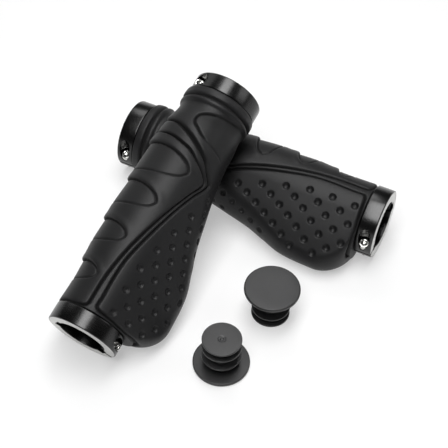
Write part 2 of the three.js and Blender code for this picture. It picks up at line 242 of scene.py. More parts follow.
def wing_reach(distance, round_radius):
    """How far the palm wing reaches from the middle of the bar."""
    full = (WING_REACH - round_radius) * curve_through(WING_PROFILE, distance / RUBBER_LENGTH)
    corner = WING_CORNER - math.sqrt(WING_CORNER**2 - max(WING_CORNER - distance, 0) ** 2)
    return round_radius + max(full - corner, LEAST_WING)


def section(distance):
    """One cross section of the rubber from the bottom round the finger side and back.

    Returns y, z and the length along the section from its top, positive towards the palm."""
    share = distance / RUBBER_LENGTH
    finger = CLAMP_RADIUS + curve_through(FINGER_PROFILE, share)
    top = CLAMP_RADIUS + curve_through(TOP_PROFILE, share)
    body = CLAMP_RADIUS + curve_through(UNDERSIDE_PROFILE, share)
    reach = wing_reach(distance, body)
    taper = (reach - body) / (WING_REACH - body)
    rim = body - (body - WING_RIM) * taper
    centre = np.array([rim - reach, -WING_DROOP * taper])
    tilt = math.atan2(-centre[1], -centre[0])
    spread = math.acos((body - rim) / np.hypot(*centre))
    upper, lower = spread - tilt, -spread - tilt

    def palm_arc(start, end, steps, radius, middle):
        angle = np.linspace(start, end, steps)
        return np.stack([
            middle[0] - radius * np.cos(angle), middle[1] + radius * np.sin(angle)], 1)

    turn = np.linspace(-math.pi / 2, math.pi / 2, FINGER_STEPS)
    pieces = [
        np.stack([finger * np.cos(turn), body * np.sin(turn)], 1),
        palm_arc(math.pi / 2, upper, PALM_STEPS, body, (0, 0))[1:],
        palm_arc(upper, lower, RIM_STEPS, rim, centre),
        palm_arc(lower, -math.pi / 2, PALM_STEPS, body, (0, 0)),
    ]
    points = np.concatenate(pieces)
    points[:, 1] = np.where(points[:, 1] > 0, points[:, 1] * top / body, points[:, 1])
    steps = np.hypot(*np.diff(points, axis=0).T)
    along = np.concatenate([[0], np.cumsum(steps)])
    return points[:, 0], points[:, 1], along - along[FINGER_STEPS - 1]


def chart_point(x, degrees=None, y=None):
    """Chart position of a point on the rubber: [distance along the bar, length from the top]."""
    ys, zs, along = section(x - RUBBER_START)
    if y is not None:
        upper = slice(FINGER_STEPS // 2, int(np.argmin(ys)))
        return [x, float(np.interp(-y, -ys[upper], along[upper]))]
    angles = np.degrees(np.unwrap(np.arctan2(zs, ys)))
    return [x, float(np.interp(degrees, angles, along))]


def charted(table):
    """Chart positions for a table of [distance along the bar, degrees about it]."""
    return [chart_point(x, degrees=a) for x, a in table]


def smooth_loop(points, steps=10):
    """A closed smooth curve through points."""
    points = np.array(points, float)
    gaps = np.hypot(*(np.roll(points, -1, axis=0) - points).T)
    loop = []
    for i in range(len(points)):
        before, start, end, after = (points[(i + k) % len(points)] for k in (-1, 0, 1, 2))
        near, span, far = gaps[i - 1], gaps[i], gaps[(i + 1) % len(points)]
        leave = (end - before) / (near + span) * span
        arrive = (after - start) / (span + far) * span
        for t in np.linspace(0, 1, steps, endpoint=False):
            loop.append(hermite(t, start, leave, end, arrive))
    return np.array(loop)


def signed_distance(loop, x, s):
    """Distance in the chart from a closed loop, negative inside it."""
    nearest = np.full(x.shape, 1e9)
    inside = np.zeros(x.shape, bool)
    for (ax, ay), (bx, by) in zip(loop, np.roll(loop, -1, axis=0)):
        dx, dy = bx - ax, by - ay
        t = np.clip(((x - ax) * dx + (s - ay) * dy) / (dx * dx + dy * dy + 1e-12), 0, 1)
        nearest = np.minimum(nearest, (x - ax - t * dx) ** 2 + (s - ay - t * dy) ** 2)
        if ay != by:
            inside ^= ((ay > s) != (by > s)) & (x < dx * (s - ay) / dy + ax)
    return np.where(inside, -1, 1) * np.sqrt(nearest)


# ---- relief of the rubber, in millimetres ----
# Chart length at which the panels' outlines close, under the fingers.
UNDER_FINGERS = -50


def seam_loops():
    """The closed outlines of the finger panel and of the band round it."""
    panel = [[9.5, UNDER_FINGERS], [9.3, -20], *charted([[9.3, 58], [9.9, 66]])]
    panel += [chart_point(x, y=y) for x, y in FINGER_LINE]
    panel += charted(FINGER_END) + [[101, UNDER_FINGERS]]
    edge = charted(CLAMP_STRIP)
    band = [[7, UNDER_FINGERS], [7, 0], [7, edge[0][1]], *edge, chart_point(10.5, y=0.3)]
    band += [chart_point(x, y=y) for x, y in WING_LINE]
    band += charted(BAND_END) + [[109.5, UNDER_FINGERS]]
    return smooth_loop(panel), smooth_loop(band)


# Powers that shape a pad's tip and place its points, and where its middle line starts.
TIP_ROUNDNESS, TIP_SPREAD, TIP_FOOT = 2.2, 0.6, 12


def pad_loop(outboard, inboard, tip, degrees):
    """A finger pad: straight sides up the fingers and a round, leaning tip."""
    tip_length = chart_point(tip, degrees=degrees)[1]
    half, middle = (inboard - outboard) / 2, (inboard + outboard) / 2
    points = [[outboard, UNDER_FINGERS], [inboard, UNDER_FINGERS]]
    rows = np.linspace(0, 1, 9) ** TIP_SPREAD
    base = chart_point(middle, degrees=TIP_FOOT)[1]
    for t, side in [(t, half) for t in rows] + [(t, -half) for t in rows[-2::-1]]:
        width = side * math.sqrt(max(1 - t**TIP_ROUNDNESS, 0.0))
        points.append([middle + (tip - middle) * t + width, base + (tip_length - base) * t])
    return smooth_loop(points, 6)


def groove(distance, width):
    """The soft profile of a groove: 1 along its middle."""
    return np.exp(-((distance / (width / 2)) ** 2))


# The seam grooves grow heavier towards the thumb: deeper, and the band's groove and its painted
# shade wider.
HEAVY_SEAM, HEAVY_FROM, HEAVY_BLEND = 1.5, 90.0, 6.0
# Beside a seam the panels' edges step down and sag a little.
STEP_BLEND, STEP_SHIFT = 0.7, 0.4
EDGE_SAG, EDGE_SAG_REACH = 0.14, 0.8
# A finger pad slopes from its outboard edge down to its inboard one, inside a fine outline.
PAD_EDGE, PAD_SHALLOW, PAD_CURVE = 0.5, 0.12, 1.2
OUTLINE_SHIFT, OUTLINE_WIDTH, OUTLINE_SHADE = 0.1, 0.8, 0.9
RIDGE_HEIGHT, RIDGE_PLACE, RIDGE_WIDTH, RIDGE_BLEND = 0.2, 1.6, 3.2, 3.0
THUMB_EDGE, THUMB_SHALLOW, THUMB_CURVE, THUMB_OUTLINE = 0.9, 0.15, 1.3, 0.9
# Degrees about the bar at which the thumb pad's tip and the whole pad have faded out.
TIP_END, TIP_BLEND, THUMB_END, THUMB_BLEND = 104, 22, 148, 25
# Where the panels and pads end under the fingers.
FADE_START, FADE_LENGTH = -44, 6
# Parts of the collar: middle past its step, half width and height.
LIP = (-0.2, 1.5, 0.25)
RIM = (4.6, 2.3, 0.45)
COLLAR_GROOVE, COLLAR_GROOVE_WIDTH, COLLAR_GROOVE_DEPTH = 2.0, 1.2, 1.0
NECK_DEPTH, NECK_START, NECK_BLEND, NECK_END_BLEND = 0.3, 108, 9, 2
# The lip and rim keep off the side the grip lies on: degrees from the bottom.
LYING_ANGLE, LYING_BLEND = 30, 40


def bead(distance, part, power):
    """The profile of a raised part of the collar: 1 along its middle."""
    middle, half, _ = part
    return np.clip(1 - ((distance - middle) / half) ** power, 0, 1)


def sunk(distance, edge, slope, shallow, curve):
    """The floor of a pad: it starts shallow at its outboard edge and is 1 at its inboard one."""
    return ease(-distance / edge) * (shallow + (1 - shallow) * slope**curve)


def rubber_relief(x, s, degrees, sizes):
    """Height of the moulded detail over the plain outline in millimetres, and how much painted
    shade falls in its grooves.
    """
    panel, band = seam_loops()
    from_panel, from_band = signed_distance(panel, x, s), signed_distance(band, x, s)
    wide = sizes.groove_width / MM
    deep = sizes.groove_depth / MM
    heavy = 1 + (HEAVY_SEAM - 1) * ease((x - HEAVY_FROM) / HEAVY_BLEND)
    relief = (-sizes.band_depth / MM * ease(from_panel / STEP_BLEND + STEP_SHIFT)
              * ease(-from_band / STEP_BLEND + STEP_SHIFT))
    # Painted shade in the seam grooves: 1 along the middle of each groove.
    seams = np.maximum(groove(from_panel, wide), groove(from_band, wide * heavy))
    relief -= deep * heavy * groove(from_panel, wide)
    relief -= deep * heavy * groove(from_band, wide * heavy)
    for distance in (from_panel, -from_band):
        relief -= EDGE_SAG * np.exp(-np.abs(distance) / EDGE_SAG_REACH) * (distance < 0)

    for outboard, inboard, tip, tip_degrees in FINGER_PADS:
        from_pad = signed_distance(pad_loop(outboard, inboard, tip, tip_degrees), x, s)
        slope = np.clip((x - outboard) / (inboard - outboard), 0, 1)
        relief -= sizes.pad_depth / MM * sunk(from_pad, PAD_EDGE, slope, PAD_SHALLOW, PAD_CURVE)
        relief -= (0.6 + 0.5 * slope) * groove(from_pad + OUTLINE_SHIFT, OUTLINE_WIDTH)
        # Painted shade in the pad's outline, heavier towards its deep inboard edge.
        seams = np.maximum(
            seams, (0.55 + 0.45 * slope) * groove(from_pad + OUTLINE_SHIFT, OUTLINE_SHADE))
        relief += (RIDGE_HEIGHT * groove(from_pad - RIDGE_PLACE, RIDGE_WIDTH)
                   * ease((x - tip) / RIDGE_BLEND))

    lower, upper = charted(THUMB_LOWER), charted(THUMB_UPPER)
    from_thumb = signed_distance(smooth_loop(lower[::-1] + charted(THUMB_TIP) + upper), x, s)
    edge_low, edge_high = (np.interp(s, *np.array(edge).T[::-1]) for edge in (lower, upper))
    slope = np.clip((x - edge_low) / (edge_high - edge_low), 0, 1)
    fade = ease((THUMB_END - degrees) / THUMB_BLEND)
    relief -= (sizes.thumb_depth / MM * fade
               * sunk(from_thumb, THUMB_EDGE, slope, THUMB_SHALLOW, THUMB_CURVE))
    bold = np.maximum(0.35 + 0.5 * slope, 1.2 * ease((TIP_END - degrees) / TIP_BLEND))
    relief -= bold * groove(from_thumb, THUMB_OUTLINE) * fade
    # Painted shade in the thumb pad's outline, heaviest at its tip and its deep edge.
    seams = np.maximum(seams, np.minimum(bold, 1) * groove(from_thumb, 1.0) * fade)

    # All but the collar fades out under the fingers.
    fade = ease((s - FADE_START) / FADE_LENGTH)
    relief, seams = relief * fade, seams * fade

    past = x - COLLAR_STEP
    from_bottom = np.minimum(degrees + 90, 270 - degrees)
    raised = LIP[2] * bead(past, LIP, 2) + RIM[2] * bead(past, RIM, 4)
    relief += raised * ease((from_bottom - LYING_ANGLE) / LYING_BLEND)
    relief -= COLLAR_GROOVE_DEPTH * groove(past - COLLAR_GROOVE, COLLAR_GROOVE_WIDTH)
    relief -= NECK_DEPTH * ease((x - NECK_START) / NECK_BLEND) * ease(-past / NECK_END_BLEND)
    # Painted shade in the collar groove.
    seams = np.maximum(seams, 0.7 * groove(past - COLLAR_GROOVE, 1.3))
    return relief, seams


# ---- placing ----
def unit(vector):
    vector = np.array(vector, float)
    return vector / np.linalg.norm(vector)


def clamp_axes(side, end):
    """Directions out of the grip's end, from bolt to bar and up the bolt, then its seat."""
    outward = unit(JOINTS[f"{side}_{end}_clamp_slide"]["axis"])
    bolt = JOINTS[f"{side}_{end}_bolt_turn"]
    up = unit(bolt["axis"])
    seat = np.array(bolt["pos_m"]) / MM
    inward = unit(np.cross(outward, up))
    low, high = box_mm(f"{side}_{end}_clamp")
    if inward @ ((low + high) / 2 - seat) < 0:
        inward = -inward
    return outward, inward, up, seat


def placement(columns, origin):
    matrix = np.eye(4)
    matrix[:3, :3] = np.array(columns).T
    matrix[:3, 3] = origin
    return matrix


def clamp_placement(side, end):
    """A clamp's own frame: x out of the grip's end, z up its bolt, its middle on the bar."""
    outward, inward, up, seat = clamp_axes(side, end)
    return placement([outward, inward, up], seat + BOLT_OFFSET * inward - BOLT_SEAT * up)


def grip_placement(side):
    """A grip's own frame: x inboard from its outboard face, y to the fingers, z to the top."""
    outward, inward, up, _ = clamp_axes(side, "outboard")
    fingers = math.cos(BOLT_DROP) * inward - math.sin(BOLT_DROP) * up
    top = math.sin(BOLT_DROP) * inward + math.cos(BOLT_DROP) * up
    middle = clamp_placement(side, "outboard")[:3, 3]
    return placement([-outward, fingers, top], middle + outward * CLAMP_WIDTH / 2)


# ---- meshes ----
def loft(rows, closed):
    """Quads between rows of points. Closed rows join last to first, others end in a point."""
    rows = np.array(rows, float)
    count, around = rows.shape[:2]
    points = rows.reshape(-1, 3)
    index = np.arange(count * around).reshape(count, around)
    index = np.concatenate([index, index[:1]]) if closed else index
    ahead = np.roll(index, -1, axis=1)
    quads = np.stack([index[:-1], ahead[:-1], ahead[1:], index[1:]], -1).reshape(-1, 4)
    faces = quads.tolist()
    if not closed:
        for row, flip in ((0, True), (count - 1, False)):
            centre = len(points)
            points = np.concatenate([points, rows[row].mean(axis=0)[None]])
            for a, b in zip(index[row], ahead[row]):
                faces.append([int(b), int(a), centre] if flip else [int(a), int(b), centre])
    return points, faces


def new_mesh(name, points, faces, matrix, smooth_angle=40):
    """A mesh in the frame's metres whose faces point outwards, given in millimetres."""
    placed = points @ matrix[:3, :3].T + matrix[:3, 3]
    corners = np.array([f if len(f) == 4 else f + f[-1:] for f in faces])
    middle = placed.mean(axis=0)
    a, b, c, d = (placed[corners[:, k]] - middle for k in range(4))
    volume = np.sum(a * np.cross(b, c)) + np.sum(a * np.cross(c, d))
    if volume < 0:
        faces = [face[::-1] for face in faces]
    mesh = bpy.data.meshes.new(name)
    mesh.from_pydata((placed * MM).tolist(), [], faces)
    mesh.shade_smooth()
    mesh.set_sharp_from_angle(angle=math.radians(smooth_angle))
    mesh.validate()
    return mesh


def new_object(name, mesh, *finishes):
    piece = bpy.data.objects.new(name, mesh)
    bpy.context.scene.collection.objects.link(piece)
    for finish in finishes:
        mesh.materials.append(finish)
    return piece


# How far a piece may reach outside its node's box, in millimetres.
STRAY_LIMIT = 1.5


def point_array(mesh):
    """A mesh's points as rows of three."""
    points = np.empty(len(mesh.vertices) * 3)
    mesh.vertices.foreach_get("co", points)
    return points.reshape(-1, 3)


def corner_array(mesh):
    """The point at each corner of a mesh's faces."""
    corner = np.empty(len(mesh.loops), int)
    mesh.loops.foreach_get("vertex_index", corner)
    return corner


def settle(piece, node, body):
    """Makes a piece stand for a node and ride on its body, once its place is checked."""
    low, high = box_mm(node)
    points = point_array(piece.data) / MM
    strays = max(np.max(low - points.min(axis=0)), np.max(points.max(axis=0) - high))
    if strays > STRAY_LIMIT:
        raise RuntimeError(f"{piece.name} reaches {strays:.2f} mm outside {node}")
    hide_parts(node)
    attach(piece, body)


def rounded(corners, steps=4):
    """A profile with its corners rounded: each corner is [along, out, radius]."""
    profile = []
    last = len(corners) - 1
    for i, (x, r, radius) in enumerate(corners):
        corner = np.array([x, r], float)
        if radius == 0 or i in (0, last):
            profile.append(corner)
            continue
        before = unit(np.array(corners[i - 1][:2], float) - corner)
        after = unit(np.array(corners[i + 1][:2], float) - corner)
        start, end = corner + before * radius, corner + after * radius
        for t in np.linspace(0, 1, steps + 1):
            profile.append((1 - t) ** 2 * start + 2 * t * (1 - t) * corner + t * t * end)
    return np.array(profile)


def turned(profile, segments, along_x=False):
    """Rows of points round an axis for a profile of [along, out]."""
    angle = np.linspace(0, 2 * math.pi, segments, endpoint=False)
    rows = []
    for along, out in profile:
        level = np.full(segments, along)
        ring = [out * np.cos(angle), out * np.sin(angle)]
        rows.append(np.stack([level, *ring] if along_x else [*ring, level], 1))
    return np.array(rows)


# ---- node trees ----
def fill(tree, node, inputs):
    """Links or sets a node's inputs."""
    for key, value in inputs.items():
        if isinstance(value, bpy.types.NodeSocket):
            tree.links.new(value, node.inputs[key])
        else:
            node.inputs[key].default_value = value


def add_node(tree, kind, settings=None, inputs=None):
    """Adds a node, sets its settings, and links or sets its inputs."""
    node = tree.nodes.new(kind)
    for name, value in (settings or {}).items():
        setattr(node, name, value)
    fill(tree, node, inputs or {})
    return node


def worked_out(tree, operation, *values, **settings):
    """The result of a sum on numbers and sockets."""
    return add_node(tree, "ShaderNodeMath", {"operation": operation, **settings},
                    dict(enumerate(values))).outputs[0]


def dimple_tree():
    """Presses staggered rows of round dimples into the wing, as far from its edges as set."""
    tree = bpy.data.node_groups.new("wing_dimples", "GeometryNodeTree")
    face = tree.interface
    face.new_socket("Rubber", in_out="INPUT", socket_type="NodeSocketGeometry")
    for name in ("First Dot", "First Row", "Dot Spacing", "Row Spacing", "Edge Room",
                 "Dimple Width", "Dimple Depth"):
        face.new_socket(name, in_out="INPUT", socket_type="NodeSocketFloat")
    for name in ("Dots", "Rows"):
        face.new_socket(name, in_out="INPUT", socket_type="NodeSocketInt")
    face.new_socket("Finish", in_out="INPUT", socket_type="NodeSocketMaterial")
    face.new_socket("Dimpled Rubber", in_out="OUTPUT", socket_type="NodeSocketGeometry")
    given = add_node(tree, "NodeGroupInput").outputs

    def sum_of(operation, *values):
        return worked_out(tree, operation, *values)

    def known(name, data_type):
        return add_node(tree, "GeometryNodeInputNamedAttribute", {"data_type": data_type},
                        {"Name": name}).outputs[0]

    index = add_node(tree, "GeometryNodeInputIndex").outputs[0]
    row = sum_of("FLOOR", sum_of("DIVIDE", sum_of("ADD", index, 0.5), given["Dots"]))
    dot = sum_of("SUBTRACT", index, sum_of("MULTIPLY", row, given["Dots"]))
    stagger = sum_of("MULTIPLY", sum_of("MODULO", row, 2.0), 0.5)
    along = sum_of("MULTIPLY_ADD", sum_of("ADD", dot, stagger), given["Dot Spacing"],
                   given["First Dot"])
    across = sum_of("MULTIPLY_ADD", row, given["Row Spacing"], given["First Row"])
    on_chart = add_node(tree, "ShaderNodeCombineXYZ", None, {"X": along, "Y": across})
    place = add_node(tree, "ShaderNodeVectorMath", {"operation": "SCALE"},
                     {0: on_chart.outputs[0], "Scale": 1 / (CHART_UNIT * MM)})
    dots = add_node(tree, "GeometryNodePoints", None, {
        "Count": sum_of("MULTIPLY", given["Dots"], given["Rows"]), "Position": place.outputs[0]})
    chart = known("grip_chart", "FLOAT_VECTOR")
    here = add_node(tree, "GeometryNodeInputPosition").outputs[0]
    room_at_dot, place_of_dot = (
        add_node(tree, "GeometryNodeSampleUVSurface", {"data_type": data_type}, {
            "Mesh": given["Rubber"], "Value": value, "Source UV Map": chart,
            "Sample UV": here}).outputs["Value"]
        for value, data_type in ((known("wing_room", "FLOAT"), "FLOAT"), (here, "FLOAT_VECTOR")))
    crowded = sum_of("LESS_THAN", room_at_dot, given["Edge Room"])
    kept = add_node(tree, "GeometryNodeDeleteGeometry", {"domain": "POINT"}, {
        "Geometry": dots.outputs[0], "Selection": crowded})
    centres = add_node(tree, "GeometryNodeSetPosition", None, {
        "Geometry": kept.outputs[0], "Position": place_of_dot})
    near = add_node(tree, "GeometryNodeProximity", {"target_element": "POINTS"}, {
        0: centres.outputs[0]})
    radius = sum_of("MULTIPLY", given["Dimple Width"], 0.5)
    reach = sum_of("MINIMUM", sum_of("DIVIDE", near.outputs["Distance"], radius), 1.0)
    fall = sum_of("SQRT", sum_of("SUBTRACT", 1.0, sum_of("MULTIPLY", reach, reach)))
    bowl = sum_of("MULTIPLY", fall, sum_of("MULTIPLY", given["Dimple Depth"], -1.0))
    normal = add_node(tree, "GeometryNodeInputNormal").outputs[0]
    press = add_node(tree, "ShaderNodeVectorMath", {"operation": "SCALE"},
                     {0: normal, "Scale": bowl})
    pressed = add_node(tree, "GeometryNodeSetPosition", None, {"Offset": press.outputs[0]})
    marked = add_node(tree, "GeometryNodeStoreNamedAttribute", {
        "data_type": "FLOAT", "domain": "POINT"}, {
        "Geometry": given["Rubber"], "Name": "dimple", "Value": fall})
    tree.links.new(marked.outputs[0], pressed.inputs["Geometry"])
    whole = add_node(tree, "GeometryNodeRealizeInstances", None, {0: pressed.outputs[0]})
    finished = add_node(tree, "GeometryNodeSetMaterial", None, {
        "Geometry": whole.outputs[0], "Material": given["Finish"]})
    add_node(tree, "NodeGroupOutput", None, {0: finished.outputs[0]})
    return tree


def run_tree(piece, tree, inputs):
    """Runs a geometry tree on a piece and keeps its result as a plain mesh."""
    modifier = piece.modifiers.new(tree.name, "NODES")
    modifier.node_group = tree
    sockets = {item.name: item.identifier for item in tree.interface.items_tree
               if item.item_type == "SOCKET" and item.in_out == "INPUT"}
    for name, value in inputs.items():
        modifier[sockets[name]] = value
    keep_result(piece)


def keep_result(piece):
    """Replaces a piece's mesh by what its modifiers make of it, and removes them."""
    graph = bpy.context.evaluated_depsgraph_get()
    made = bpy.data.meshes.new_from_object(piece.evaluated_get(graph), depsgraph=graph)
    old = piece.data
    piece.modifiers.clear()
    piece.data = made
    bpy.data.meshes.remove(old)


# ---- finishes ----
def new_finish(name):
    finish = bpy.data.materials.new(name)
    finish.use_nodes = True
    tree = finish.node_tree
    tree.nodes.clear()
    shader = add_node(tree, "ShaderNodeBsdfPrincipled")
    add_node(tree, "ShaderNodeOutputMaterial", None, {"Surface": shader.outputs[0]})
    place = add_node(tree, "ShaderNodeTexCoord").outputs["Object"]
    return finish, tree, shader, place


def opaque(colour, share=1.0):
    """A colour or a share of its brightness, as a socket takes it."""
    return (*(c * share for c in colour), 1.0)


def noise(tree, place, millimetres, **inputs):
    """Soft noise whose features have one size."""
    return add_node(tree, "ShaderNodeTexNoise", None, {
        "Vector": place, "Scale": 1 / (millimetres * MM), **inputs}).outputs["Fac"]


def ramp(tree, value, to, span=(0.0, 1.0), kind="LINEAR"):
    """A value taken from one span to another, and kept inside it."""
    return add_node(tree, "ShaderNodeMapRange", {"interpolation_type": kind}, {
        "Value": value, "From Min": span[0], "From Max": span[1],
        "To Min": to[0], "To Max": to[1]}).outputs["Result"]


def blend(tree, factor, first, second):
    """One colour fading into another."""
    return add_node(tree, "ShaderNodeMix", {"data_type": "RGBA"}, {
        0: factor, 6: first, 7: second}).outputs[2]


def bump(tree, height, strength, millimetres):
    """A normal tilted by small heights."""
    return add_node(tree, "ShaderNodeBump", None, {
        "Height": height, "Strength": strength, "Distance": millimetres * MM}).outputs[0]


# The span in which most of a noise's values lie.
NOISE_SPAN = (0.3, 0.7)


def moulded_rubber(colours):
    """Thermoplastic rubber from a spark eroded mould: matte, with a fine even grain.

    Seam grooves come out rough and duller, and painted shade darkens their colour. The colour is
    also darker in recesses and lighter on raised parts: painted shade and painted sheen over a
    random mottle. The grain is drawn coarser than a real one, so that it shows."""
    finish, tree, shader, place = new_finish("moulded_rubber")
    grain = noise(tree, place, 0.45, Detail=3.0, Roughness=0.6)
    relief, seams = (
        add_node(tree, "ShaderNodeAttribute", {"attribute_name": name}).outputs["Fac"]
        for name in ("relief", "seams"))
    # Painted shade in recesses and painted sheen on raised parts: the colour lightens with the
    # relief's height, on top of a random mottle.
    raised = ramp(tree, relief, (0.0, 0.75), (-0.9, 0.35))
    random_tone_and_relief_shading = worked_out(tree, "MULTIPLY_ADD", noise(tree, place, 9.0), 0.35, raised)
    shade = blend(tree, random_tone_and_relief_shading, opaque(colours.rubber), opaque(colours.rubber_light_tone_and_sheen))
    satin = ramp(tree, grain, (0.44, 0.54), NOISE_SPAN)
    # Painted shade darkens the colour in the grooves, which also come out rougher.
    fill(tree, shader, {
        "Base Color": blend(tree, seams, shade, opaque(colours.rubber_groove_shade)),
        "Roughness": worked_out(tree, "MULTIPLY_ADD", seams, 0.5, satin, use_clamp=True),
        "Normal": bump(tree, grain, 0.35, 0.06), "IOR": 1.5, "Specular IOR Level": 0.33})
    return finish


def anodised_aluminium(colours):
    """Black anodised aluminium, turned before dyeing: satin, with fine lines round the ring.

    The tool lines are drawn coarser than real ones, so that they show."""
    finish, tree, shader, place = new_finish("anodised_aluminium")
    chart = add_node(tree, "ShaderNodeUVMap", {"uv_map": "ring_chart"})
    stretch = add_node(tree, "ShaderNodeMapping", None, {
        "Vector": chart.outputs[0], "Scale": (3.0, 900.0, 1.0)})
    lines = add_node(tree, "ShaderNodeTexNoise", {"noise_dimensions": "2D"}, {
        "Vector": stretch.outputs[0], "Scale": 6.0}).outputs["Fac"]
    fill(tree, shader, {
        "Base Color": blend(tree, noise(tree, place, 0.6), opaque(colours.anodised),
                            opaque(colours.anodised, 1.5)),
        "Roughness": ramp(tree, lines, (0.2, 0.3), NOISE_SPAN),
        "Normal": bump(tree, lines, 0.12, 0.03), "Metallic": 1.0})
    return finish


def bare_metal(name, colour, cloud_size, shadow, dull_range):
    """Metal whose colour and gloss cloud over together: shadow is its darkest share."""
    finish, tree, shader, place = new_finish(name)
    cloud = noise(tree, place, cloud_size, Detail=3.0)
    fill(tree, shader, {
        "Base Color": blend(tree, cloud, opaque(colour, shadow), opaque(colour)),
        "Roughness": ramp(tree, cloud, dull_range), "Metallic": 1.0})
    return finish


def turned_face(colours):
    """End face of a ring, faced off on the lathe after dyeing: bright satin aluminium."""
    return bare_metal("turned_aluminium_face", colours.turned_face, 0.5, 0.8, (0.3, 0.45))


def zinc_plated_steel(colours):
    """Cold headed steel, zinc plated: bright, with a faint cloudiness."""
    return bare_metal("zinc_plated_steel", colours.zinc, 1.2, 0.75, (0.14, 0.34))


def moulded_plastic(name, colour, grain_size, dull_range, bump_height):
    """Injection moulded polyethylene or nylon: even colour, faint flow marks, soft gloss."""
    finish, tree, shader, place = new_finish(name)
    grain = noise(tree, place, grain_size, Detail=3.0)
    flow = noise(tree, place, 6.0, Distortion=0.6)
    fill(tree, shader, {
        "Base Color": blend(tree, flow, opaque(colour, 0.8), opaque(colour, 1.25)),
        "Roughness": ramp(tree, grain, dull_range, NOISE_SPAN),
        "Normal": bump(tree, grain, 0.2, bump_height), "IOR": 1.52})
    return finish


# ---- rubber grips ----
# The grid is fine where the relief is, wider towards the fingers' underside, coarse below.
GRID_STEP, SIDE_STEP, COARSE_COLUMNS = 0.355, 0.6, 18
SIDE_LOW, FINE_LOW, FINE_HIGH = -46.0, -32.0, 41.0
# Rounding of the outer end corners, and the flat land and chamfer round the bore.
END_FILLET, BORE_LAND, BORE_CHAMFER = 0.45, 1.2, 0.3
# Where the chart puts the faces that dimples must never find.
OFF_CHART = 2.0
# The wing's upper side bulges from this chart length to its rim.
CROWN_START, WING_CROWN = 1.5, 0.7
# How far the dimples reach: past the rim where the grip is slim, short of it on the wing, up to
# the outboard corner at this slope, and along the bar.
PAST_RIM, SHORT_OF_RIM, CORNER_SLOPE, LAST_DOT = 9.0, 3.6, 1.2, 90
DOTS_IN_ROW, DOT_ROWS = 7, 8
# Corners of the rubber stay sharp only past this angle, in degrees.
RUBBER_SMOOTHING = 80


def rubber_rows(sizes):
    """The grip's outside as rows of points, with its chart and what is known at each point."""
    count = int(RUBBER_LENGTH / GRID_STEP)
    stations = np.linspace(END_FILLET, RUBBER_LENGTH - END_FILLET, count)
    fine = np.concatenate([
        np.arange(SIDE_LOW, FINE_LOW, SIDE_STEP), np.arange(FINE_LOW, FINE_HIGH, GRID_STEP)])
    share = np.linspace(0, 1, COARSE_COLUMNS, endpoint=False)
    y, z, s, room, line, crown = [], [], [], [], [], []
    for distance in stations:
        ys, zs, along = section(distance)
        columns = np.concatenate([
            along[0] + (SIDE_LOW - along[0]) * share, fine,
            FINE_HIGH + (along[-1] - FINE_HIGH) * share])
        y.append(np.interp(columns, along, ys))
        z.append(np.interp(columns, along, zs))
        s.append(columns)
        rim = along[int(np.argmin(ys))]
        x = RUBBER_START + distance
        below_line = float(chart_point(x, y=float(curve_through(WING_LINE, x)))[1])
        line.append(np.full(len(columns), below_line))
        taper = float((-ys.min() - CLAMP_RADIUS) / (WING_REACH - CLAMP_RADIUS))
        last = rim + PAST_RIM * (1 - taper) - SHORT_OF_RIM * taper
        inside = np.minimum(last - columns, (x - RUBBER_START) * CORNER_SLOPE)
        room.append(np.where(x < LAST_DOT, inside, -1.0))
        over = np.clip((columns - CROWN_START) / (rim - CROWN_START), 0, 1)
        crown.append(WING_CROWN * taper * np.sin(math.pi * over) ** 2)
    y, z, s, room, line, crown = (np.array(values) for values in (y, z, s, room, line, crown))
    x = np.repeat((RUBBER_START + stations)[:, None], y.shape[1], axis=1)
    degrees = np.degrees(np.unwrap(np.arctan2(z, y), axis=1))
    relief, seams = rubber_relief(x, s, degrees, sizes)
    points = np.stack([x, y, z], -1)
    across = np.roll(points, -1, axis=1) - np.roll(points, 1, axis=1)
    lengthwise = np.gradient(points, axis=0)
    normal = np.cross(lengthwise, across)
    normal /= np.linalg.norm(normal, axis=2, keepdims=True)
    away = np.sum(normal[..., 1:] * points[..., 1:], axis=2).mean()
    points = points + normal * ((relief + crown) * math.copysign(1, away))[..., None]
    chart = np.stack([x, s - line], -1) / CHART_UNIT
    return points, chart, {"relief": relief, "seams": seams, "wing_room": room * MM}


